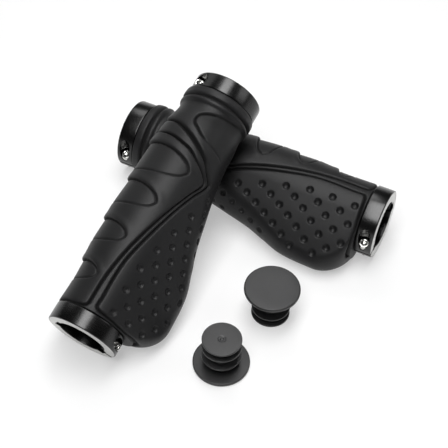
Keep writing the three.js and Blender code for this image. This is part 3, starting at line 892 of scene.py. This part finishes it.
def rubber_grip_mesh(side, sizes, finish):
    points, chart, known = rubber_rows(sizes)
    around = points.shape[1]
    bore = SLEEVE_RADIUS + CLEARANCE
    rubber_end = RUBBER_START + RUBBER_LENGTH

    def moved(row, x, radius):
        """A row of points put at one place along the bar, and at one radius or many."""
        ring = row.copy()
        ring[:, 1:] *= (radius / np.hypot(row[:, 1], row[:, 2]))[:, None]
        ring[:, 0] = x
        return ring

    def end_rows(row, x_end, inward):
        outline = np.hypot(row[:, 1], row[:, 2])
        rows = [moved(row, x_end + inward * END_FILLET * (1 - math.sin(turn)),
                      outline - END_FILLET * (1 - math.cos(turn)))
                for turn in np.radians([30, 60, 90])]
        return rows + [
            moved(row, x_end, bore + BORE_LAND), moved(row, x_end, bore + BORE_CHAMFER),
            moved(row, x_end + inward * BORE_CHAMFER, bore)]

    outboard = end_rows(points[0], RUBBER_START, 1)
    inboard = end_rows(points[-1], rubber_end, -1)
    through = [
        moved(points[-1] * (1 - t) + points[0] * t, rubber_end - RUBBER_LENGTH * t, bore)
        for t in np.linspace(0, 1, 7)[1:-1]]
    rows = np.array([*outboard[::-1], *points, *inboard, *through])
    vertices, faces = loft(rows, closed=True)
    before, after = len(outboard), len(rows) - len(outboard) - len(points)
    mesh = new_mesh(f"{side}_grip_rubber", vertices, faces, grip_placement(side),
                    RUBBER_SMOOTHING)

    def padded(values):
        return np.concatenate([
            np.zeros((before, around)), values, np.zeros((after, around))])

    for name, values in known.items():
        layer = mesh.attributes.new(name, "FLOAT", "POINT")
        layer.data.foreach_set("value", padded(values).ravel())
    corner = corner_array(mesh).reshape(-1, 4)
    row, column = corner // around, corner % around
    outside = (row.min(axis=1) < before) | (row.max(axis=1) >= before + len(points))
    seam = column.max(axis=1) - column.min(axis=1) > 1
    flat = np.stack([padded(chart[..., 0]), padded(chart[..., 1])], -1).reshape(-1, 2)[corner]
    flat[outside | seam] = OFF_CHART
    layer = mesh.uv_layers.new(name="grip_chart")
    layer.data.foreach_set("uv", flat.ravel())
    return new_object(f"{side}_grip_rubber", mesh, finish)


class GRIPS_OT_rubber_grips(bpy.types.Operator):
    """Builds both moulded rubber grips with their panels, pads and dimples"""

    bl_idname = "grips.rubber_grips"
    bl_label = "Rubber grips"

    def execute(self, context):
        sizes = context.scene.grip_relief
        finish = moulded_rubber(context.scene.grip_finishes)
        tree = dimple_tree()
        for side in SIDES:
            piece = rubber_grip_mesh(side, sizes, finish)
            run_tree(piece, tree, {
                "First Dot": sizes.first_dot, "First Row": sizes.first_row,
                "Dot Spacing": sizes.dot_spacing, "Row Spacing": sizes.row_spacing,
                "Edge Room": sizes.edge_room, "Dimple Width": sizes.dimple_width,
                "Dimple Depth": sizes.dimple_depth, "Dots": DOTS_IN_ROW, "Rows": DOT_ROWS,
                "Finish": finish})
            settle(piece, f"{side}_rubber_grip", f"{side}_grip")
        return {"FINISHED"}


# ---- core sleeves ----
SLEEVE_SEGMENTS = 240
RIB_DEPTH, SLEEVE_EDGE = 0.3, 0.2


def sleeve_mesh(side):
    """A tube whose ends reach into the clamps as two tabs each."""
    matrix = grip_placement(side)
    angle = np.linspace(0, 2 * math.pi, SLEEVE_SEGMENTS, endpoint=False)
    around = np.stack([np.zeros_like(angle), np.cos(angle), np.sin(angle)], 1)
    ends = []
    for end, tab_end, tube_end in (
            ("outboard", TAB_SETBACK, RUBBER_START),
            ("inboard", GRIP_LENGTH - TAB_SETBACK, GRIP_LENGTH - RUBBER_START)):
        up = matrix[:3, :3].T @ clamp_axes(side, end)[2]
        height = around @ up * SLEEVE_RADIUS
        ends.append(np.where((height > TAB_LOW) & (height < TAB_HIGH), tab_end, tube_end))
    # Fine ribs along the bore grip the handlebar.
    ribbed = (BORE_RADIUS + RIB_DEPTH * (np.arange(SLEEVE_SEGMENTS) // 3 % 2))[:, None]
    rows = []
    for x, inset, radius in (
            (ends[0], SLEEVE_EDGE, SLEEVE_RADIUS), (ends[1], -SLEEVE_EDGE, SLEEVE_RADIUS),
            (ends[1], 0, SLEEVE_RADIUS - SLEEVE_EDGE), (ends[1], 0, BORE_RADIUS + SLEEVE_EDGE),
            (ends[1], -SLEEVE_EDGE, ribbed), (ends[0], SLEEVE_EDGE, ribbed),
            (ends[0], 0, BORE_RADIUS + SLEEVE_EDGE), (ends[0], 0, SLEEVE_RADIUS - SLEEVE_EDGE)):
        row = around * radius
        row[:, 0] = x + inset
        rows.append(row)
    points, faces = loft(rows, closed=True)
    return new_mesh(f"{side}_sleeve", points, faces, matrix)


class GRIPS_OT_core_sleeves(bpy.types.Operator):
    """Builds the nylon sleeves whose tabs key into the clamps"""

    bl_idname = "grips.core_sleeves"
    bl_label = "Core sleeves"

    def execute(self, context):
        colours = context.scene.grip_finishes
        nylon = moulded_plastic("moulded_nylon", colours.nylon, 0.5, (0.42, 0.58), 0.03)
        for side in SIDES:
            piece = new_object(f"{side}_sleeve", sleeve_mesh(side), nylon)
            settle(piece, f"{side}_core_sleeve", f"{side}_grip")
        return {"FINISHED"}


# ---- clamp rings ----
RING_SEGMENTS = 192
# Edges of a ring or bolt stay sharp only past these angles, in degrees.
RING_SMOOTHING, BOLT_SMOOTHING = 32, 35
# How near to a ring's end, and how square to the bar, a face is to count as an end face.
END_NEARNESS, END_SQUARENESS = 0.02, 0.99
OUTER_EDGE, BORE_EDGE = 0.55, 0.35
BOLT_HOLE_RADIUS, POCKET_RADIUS = 1.8, 2.9


def ring_cutters():
    """What is cut out of a ring in its own frame: slit, key notches, bolt hole and head pocket."""
    def block(y, z):
        return loft([[[x, y[0], z[0]], [x, y[1], z[0]], [x, y[1], z[1]], [x, y[0], z[1]]]
                     for x in (-CLAMP_WIDTH, CLAMP_WIDTH)], closed=False)

    def bored(radius, low, high, segments):
        rows = turned([[low, radius], [high, radius]], segments)
        rows[..., 1] -= BOLT_OFFSET
        return loft(rows, closed=False)

    notch = SLEEVE_RADIUS + CLEARANCE
    return [
        block((-CLAMP_RADIUS * 2, -BORE_RADIUS / 2), (SLIT_TOP - SLIT_GAP, SLIT_TOP)),
        block((-notch, notch), (TAB_LOW - CLEARANCE, TAB_HIGH + CLEARANCE)),
        bored(BOLT_HOLE_RADIUS, -CLAMP_RADIUS, CLAMP_RADIUS, 48),
        bored(POCKET_RADIUS, BOLT_SEAT - CLEARANCE, CLAMP_RADIUS, 64),
    ]


def ring_mesh():
    """A split clamp ring in its own frame, in metres."""
    half = CLAMP_WIDTH / 2
    start = [0, BORE_RADIUS, 0]
    profile = rounded([
        start, [-half, BORE_RADIUS, BORE_EDGE], [-half, CLAMP_RADIUS, OUTER_EDGE],
        [half, CLAMP_RADIUS, OUTER_EDGE], [half, BORE_RADIUS, BORE_EDGE], start])[:-1]
    points, faces = loft(turned(profile, RING_SEGMENTS, along_x=True), closed=True)
    mesh = new_mesh("ring", points, faces, np.eye(4))
    layer = mesh.uv_layers.new(name="ring_chart")
    corner = corner_array(mesh)
    # The chart runs round the ring and across its width.
    turn = (corner % RING_SEGMENTS) / RING_SEGMENTS * 2 * math.pi * CLAMP_RADIUS / CHART_UNIT
    place = points[corner]
    layer.data.foreach_set("uv", np.stack([turn, (place[:, 0] + np.hypot(
        place[:, 1], place[:, 2])) / CHART_UNIT], 1).ravel())
    ring = new_object("ring", mesh)
    tools = []
    for points, faces in ring_cutters():
        tool = new_object("ring_cutter", new_mesh("ring_cutter", points, faces, np.eye(4)))
        cut = ring.modifiers.new("cut", "BOOLEAN")
        cut.operation, cut.solver, cut.object = "DIFFERENCE", "EXACT", tool
        tools.append(tool)
    keep_result(ring)
    for tool in tools:
        bpy.data.objects.remove(tool)
    made = ring.data
    bpy.data.objects.remove(ring)
    return made


def placed_copy(mesh, name, matrix):
    """A copy of a mesh in its own frame, put in its place with its faces pointing outwards."""
    copy = mesh.copy()
    copy.name = name
    placed = point_array(copy) @ matrix[:3, :3].T + matrix[:3, 3] * MM
    copy.vertices.foreach_set("co", placed.ravel())
    if np.linalg.det(matrix[:3, :3]) < 0:
        copy.flip_normals()
    copy.update()
    return copy


class GRIPS_OT_clamp_rings(bpy.types.Operator):
    """Builds the four split clamp rings"""

    bl_idname = "grips.clamp_rings"
    bl_label = "Clamp rings"

    def execute(self, context):
        colours = context.scene.grip_finishes
        finishes = anodised_aluminium(colours), turned_face(colours)
        mesh = ring_mesh()
        half = CLAMP_WIDTH / 2 * MM
        for face in mesh.polygons:
            at_end = abs(abs(face.center.x) - half) < END_NEARNESS * MM
            square = abs(face.normal.x) > END_SQUARENESS
            face.material_index = int(at_end and square)
        mesh.set_sharp_from_angle(angle=math.radians(RING_SMOOTHING))
        for side, end in CLAMPS:
            name = f"{side}_{end}_clamp"
            ring = placed_copy(mesh, f"{name}_ring", clamp_placement(side, end))
            piece = new_object(f"{name}_ring", ring, *finishes)
            settle(piece, name, name)
        return {"FINISHED"}


# ---- clamp bolts ----
BOLT_SEGMENTS = 96
# Rows round a bolt's axis from its tip up and down into the socket: [height, radius]. The thread
# follows the tip, the knurled band the shoulder and the hexagon the crown.
BOLT_TIP = [[-9.0, 1.05], [-8.7, 1.3]]
BOLT_SHOULDER = [[-1.2, 1.42], [-0.15, 1.42], [0, 1.5], [0, 2.4], [0.12, 2.5]]
BOLT_CROWN = [[2.2, 2.5], [2.38, 2.44], [2.52, 2.3], [2.6, 2.1], [2.6, 1.62]]
SOCKET_FLOOR = [[1.3, 1.0], [1.12, 0.3]]
THREAD_START, THREAD_END, THREAD_PITCH = -8.6, -1.4, 0.5
THREAD_CORE, THREAD_DEPTH = 1.22, 0.26
HEAD_RADIUS, KNURLS, KNURL_DEPTH = 2.6, 24, 0.09
SOCKET_WIDTH, SOCKET_FLARE = 2.5, 1.02


def bolt_rows():
    """A socket head cap screw on z, its head on 0: thread, knurled head and hex socket."""
    angle = np.linspace(0, 2 * math.pi, BOLT_SEGMENTS, endpoint=False)
    wave = np.abs(((angle * KNURLS / math.pi) % 2) - 1)
    knurled = HEAD_RADIUS - KNURL_DEPTH * wave
    sixth = math.pi / 6
    hexagon = math.cos(sixth) / np.cos((angle % (2 * sixth)) - sixth)
    socket = hexagon * SOCKET_WIDTH / 2 / math.cos(sixth)
    thread = []
    for z in np.arange(THREAD_START, THREAD_END, THREAD_PITCH / 4):
        height = np.abs(((z / THREAD_PITCH - angle / (2 * math.pi)) % 1) * 2 - 1)
        thread.append([z, THREAD_CORE + THREAD_DEPTH * height])
    rows = [*BOLT_TIP, *thread, *BOLT_SHOULDER, [0.25, knurled], [2.05, knurled], *BOLT_CROWN,
            [2.42, socket * SOCKET_FLARE], [1.45, socket], *SOCKET_FLOOR]
    return np.array([
        np.stack([r * np.cos(angle), r * np.sin(angle), np.full(BOLT_SEGMENTS, z)], 1)
        for z, r in rows])


class GRIPS_OT_clamp_bolts(bpy.types.Operator):
    """Builds the four socket head bolts that close the rings"""

    bl_idname = "grips.clamp_bolts"
    bl_label = "Clamp bolts"

    def execute(self, context):
        zinc = zinc_plated_steel(context.scene.grip_finishes)
        points, faces = loft(bolt_rows(), closed=False)
        for side, end in CLAMPS:
            name = f"{side}_{end}_bolt"
            outward, inward, up, seat = clamp_axes(side, end)
            mesh = new_mesh(f"{name}_screw", points, faces,
                            placement([outward, inward, up], seat), BOLT_SMOOTHING)
            piece = new_object(f"{name}_screw", mesh, zinc)
            settle(piece, name, name)
        return {"FINISHED"}


# ---- end plugs ----
FLANGE_RADIUS, FLANGE_THICKNESS = 13.0, 1.9
STEM_RADIUS, FIN_RADIUS = 5.3, 9.0
FIN_HEIGHTS = (4.9, 11.6, 16.2)
# Half of a fin's thickness at its edge and at the stem.
FIN_EDGE, FIN_ROOT = 0.42, 0.85
PLUG_SEGMENTS = 128


def plug_profile():
    """Half outline of a plug on z, underside of the flange at 0 and the fins above."""
    corners = [
        [0.12 - FLANGE_THICKNESS, 0.01, 0], [0.05 - FLANGE_THICKNESS, 6, 2],
        [-FLANGE_THICKNESS, FLANGE_RADIUS, 0.75], [-0.1, FLANGE_RADIUS, 0.5],
        [0, STEM_RADIUS, 0.7],
    ]
    for height in FIN_HEIGHTS:
        corners += [
            [height - FIN_ROOT, STEM_RADIUS, 0.6], [height - FIN_EDGE, FIN_RADIUS, 0.3],
            [height + FIN_EDGE, FIN_RADIUS, 0.3],
        ]
        if height != FIN_HEIGHTS[-1]:
            corners.append([height + FIN_ROOT, STEM_RADIUS, 0.6])
    top = FIN_HEIGHTS[-1] + 0.45
    corners += [[top, 1.9, 0.2], [top - 0.16, 1.5, 0.1], [top - 0.16, 0.9, 0.1],
                [top - 0.5, 0.6, 0.1], [top - 0.5, 0.01, 0]]
    return rounded(corners, 5)


class GRIPS_OT_end_plugs(bpy.types.Operator):
    """Builds the two finned plugs, one on its flange and one on its fins"""

    bl_idname = "grips.end_plugs"
    bl_label = "End plugs"

    def execute(self, context):
        colours = context.scene.grip_finishes
        plastic = moulded_plastic("moulded_polyethylene", colours.plug, 0.55, (0.34, 0.5), 0.04)
        points, faces = loft(turned(plug_profile(), PLUG_SEGMENTS), closed=False)
        for side, up in (("left", 1), ("right", -1)):
            node = f"{side}_end_plug"
            low, high = box_mm(node)
            foot = FLANGE_THICKNESS if up > 0 else high[2] - low[2] - FLANGE_THICKNESS
            centre = [(low[0] + high[0]) / 2, (low[1] + high[1]) / 2, low[2] + foot]
            matrix = placement([[1, 0, 0], [0, up, 0], [0, 0, up]], centre)
            mesh = new_mesh(f"{side}_plug", points, faces, matrix)
            piece = new_object(f"{side}_plug_moulding", mesh, plastic)
            settle(piece, node, f"{side}_plug")
        return {"FINISHED"}


# ---- studio ----
CAMERA_AIM = (-6.0, 32.0, 0.0)
CAMERA_DISTANCE = 564.0
CAMERA_AZIMUTH = math.radians(24.55)
CAMERA_ELEVATION = math.radians(49.25)
CAMERA_ROLL = math.radians(1.9)
CAMERA_LENS = 90.9
# The floor's underside and top, and how far it reaches, in millimetres.
FLOOR_LOW, FLOOR_TOP, FLOOR_REACH = -0.06, -0.05, 6000
FLOOR_SEGMENTS = 64
# The paper's backlight grows between these distances from the set, in metres.
GLOW_NEAR, GLOW_FAR, GLOW_SHARE = 0.25, 1.2, 0.4
# The cove darkens between these heights of a direction, down to this share.
COVE_LOW, COVE_HIGH, COVE_DARK = 0.02, 0.22, 0.06
# Softboxes: name, place and aim in metres, size and power setting.
SOFTBOXES = (
    ("overhead", (0.0, -0.12, 0.75), (0, -0.12, 0), (0.32, 0.9), "overhead_power"),
    ("back", (-0.3, 0.62, 0.75), (0, 0, 0), (0.4, 0.4), "back_power"),
    ("left_side", (-0.75, 0.35, 0.55), (0, 0, 0), (0.5, 0.5), "left_power"),
    ("right_side", (0.75, 0.45, 0.6), (0, 0, 0), (0.5, 0.5), "right_power"),
)


def add_softbox(name, place, aim, size, power):
    light = bpy.data.lights.new(name, "AREA")
    light.shape = "RECTANGLE"
    light.size, light.size_y = size
    light.energy = power
    lamp = bpy.data.objects.new(name, light)
    bpy.context.scene.collection.objects.link(lamp)
    lamp.location = place
    towards = Vector(aim) - Vector(place)
    lamp.rotation_euler = towards.to_track_quat("-Z", "Y").to_euler()


def backlit_paper(studio):
    """Uncoated white sweep paper: matte, with a faint cloudiness from its fibres.

    Towards the cove it is lit from behind, so that its shadows and its edge stay soft."""
    finish, tree, shader, place = new_finish("matt_paper")
    fill(tree, shader, {
        "Base Color": blend(tree, noise(tree, place, 40.0), opaque(studio.floor, 0.98),
                            opaque(studio.floor)),
        "Roughness": 0.9, "Specular IOR Level": 0.0})
    reach = add_node(
        tree, "ShaderNodeVectorMath", {"operation": "LENGTH"}, {0: place}).outputs["Value"]
    share, strength = (
        ramp(tree, reach, to, (GLOW_NEAR, GLOW_FAR), "SMOOTHSTEP")
        for to in ((GLOW_SHARE, 1.0), (studio.backlight, studio.sky_strength)))
    backlight = add_node(tree, "ShaderNodeEmission", None, {"Strength": strength})
    sheet = add_node(tree, "ShaderNodeMixShader", None, {
        0: share, 1: shader.outputs[0], 2: backlight.outputs[0]})
    fill(tree, tree.nodes["Material Output"], {"Surface": sheet.outputs[0]})
    return finish


def cove_world(strength):
    """Surroundings that are white round the set and dark above it."""
    world = bpy.data.worlds.new("cove")
    world.use_nodes = True
    tree = world.node_tree
    tree.nodes.clear()
    ray = add_node(tree, "ShaderNodeTexCoord").outputs["Generated"]
    height = add_node(tree, "ShaderNodeSeparateXYZ", None, {0: ray}).outputs["Z"]
    light = ramp(tree, height, (1.0, COVE_DARK), (COVE_LOW, COVE_HIGH), "SMOOTHSTEP")
    glow = add_node(tree, "ShaderNodeBackground", None, {
        "Color": (1.0, 1.0, 1.0, 1.0), "Strength": worked_out(tree, "MULTIPLY", light, strength)})
    add_node(tree, "ShaderNodeOutputWorld", None, {0: glow.outputs[0]})
    return world


class GRIPS_OT_studio(bpy.types.Operator):
    """Sets up the floor, the lights and the camera"""

    bl_idname = "grips.studio"
    bl_label = "Studio"

    def execute(self, context):
        scene = context.scene
        studio = scene.grip_studio
        scene.view_settings.view_transform = "Standard"
        paper = backlit_paper(studio)
        outline = [[FLOOR_LOW, FLOOR_REACH], [FLOOR_TOP, FLOOR_REACH]]
        points, faces = loft(turned(outline, FLOOR_SEGMENTS), closed=False)
        floor = new_object("floor", new_mesh("floor", points, faces, np.eye(4)), paper)

        scene.world = cove_world(studio.sky_strength)
        for name, place, aim, size, power in SOFTBOXES:
            add_softbox(name, place, aim, size, getattr(studio, power))

        camera = bpy.data.objects.new("camera", bpy.data.cameras.new("camera"))
        scene.collection.objects.link(camera)
        back = Vector((
            math.sin(CAMERA_AZIMUTH) * math.cos(CAMERA_ELEVATION),
            -math.cos(CAMERA_AZIMUTH) * math.cos(CAMERA_ELEVATION), math.sin(CAMERA_ELEVATION)))
        camera.location = Vector(CAMERA_AIM) * MM + back * CAMERA_DISTANCE * MM
        camera.rotation_mode = "QUATERNION"
        turn = Matrix.Rotation(CAMERA_ROLL, 4, back)
        camera.rotation_quaternion = turn.to_quaternion() @ (-back).to_track_quat("-Z", "Y")
        camera.data.sensor_width = 36
        camera.data.lens = CAMERA_LENS
        camera.data.clip_start, camera.data.clip_end = 0.01, 20
        scene.camera = camera
        return {"FINISHED"}


# ---- add-on ----
class GRIPS_PT_panel(bpy.types.Panel):
    """Lists the pieces of the grip set in the order they are built"""

    bl_idname = "GRIPS_PT_panel"
    bl_label = "Clamp-on grip set"
    bl_space_type = "VIEW_3D"
    bl_region_type = "UI"
    bl_category = "Grips"

    def draw(self, context):
        for operator in OPERATORS:
            self.layout.operator(operator.bl_idname)
        for settings in (context.scene.grip_relief, context.scene.grip_finishes,
                         context.scene.grip_studio):
            column = self.layout.column()
            for name in settings.__annotations__:
                column.prop(settings, name)


OPERATORS = (
    GRIPS_OT_studio, GRIPS_OT_rubber_grips, GRIPS_OT_core_sleeves, GRIPS_OT_clamp_rings,
    GRIPS_OT_clamp_bolts, GRIPS_OT_end_plugs,
)
SETTINGS = {
    "grip_relief": GripReliefSettings, "grip_finishes": FinishSettings,
    "grip_studio": StudioSettings,
}


def register():
    for made in (*SETTINGS.values(), *OPERATORS, GRIPS_PT_panel):
        bpy.utils.register_class(made)
    for name, group in SETTINGS.items():
        setattr(bpy.types.Scene, name, bpy.props.PointerProperty(type=group))


def unregister():
    for name in SETTINGS:
        delattr(bpy.types.Scene, name)
    for made in reversed((*SETTINGS.values(), *OPERATORS, GRIPS_PT_panel)):
        bpy.utils.unregister_class(made)


def main():
    register()
    for operator in OPERATORS:
        group, name = operator.bl_idname.split(".")
        getattr(getattr(bpy.ops, group), name)()


if __name__ == "__main__":
    main()
